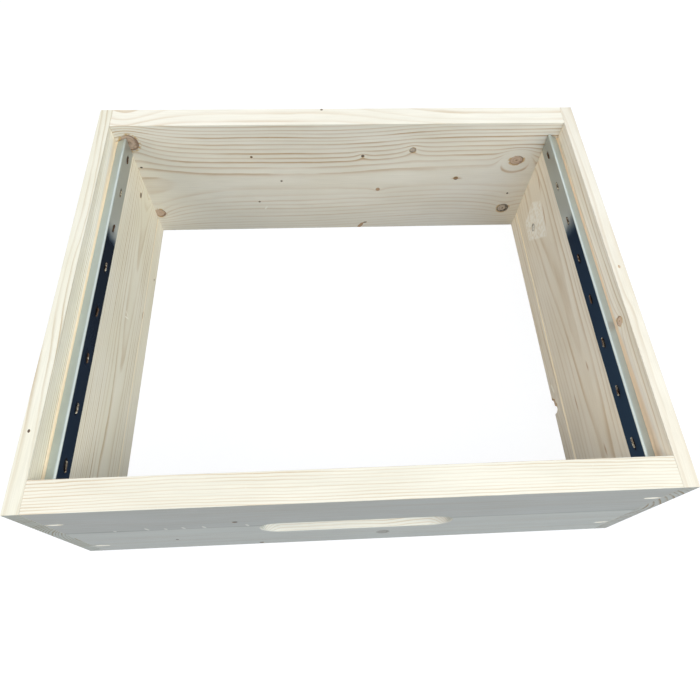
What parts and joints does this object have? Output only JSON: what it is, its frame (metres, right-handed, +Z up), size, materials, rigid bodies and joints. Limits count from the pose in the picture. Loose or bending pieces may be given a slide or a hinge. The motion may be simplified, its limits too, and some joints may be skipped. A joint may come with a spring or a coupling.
{
  "type": "beehive",
  "caption": "Open wooden honey super of a frame hive, with rabbeted stapled corners, hand holds in its walls and folded steel rails that carry the frames.",
  "frame": {"origin": "centre of the box's outline, on the plane of its bottom edge", "axes": "+X runs along the frames, from the left rail to the right one; -Y is the front wall; +Z is up"},
  "size_m": [0.516, 0.424, 0.17],
  "materials": {
    "spruce": "planed, bare",
    "galvanised_sheet": "smooth galvanised, folded",
    "staple_wire": "resin-coated galvanised wire"
  },
  "bodies": {
    "root": {"left_side_board": "spruce", "left_side_strip": "spruce", "right_side_board": "spruce", "right_side_strip": "spruce", "front_upper_plank": "spruce", "front_lower_plank": "spruce", "back_board": "spruce", "left_rail": "galvanised_sheet", "right_rail": "galvanised_sheet", "left_rail_staples": "staple_wire", "right_rail_staples": "staple_wire", "front_corner_staples": "staple_wire", "back_corner_staples": "staple_wire"}
  },
  "joints": []
}
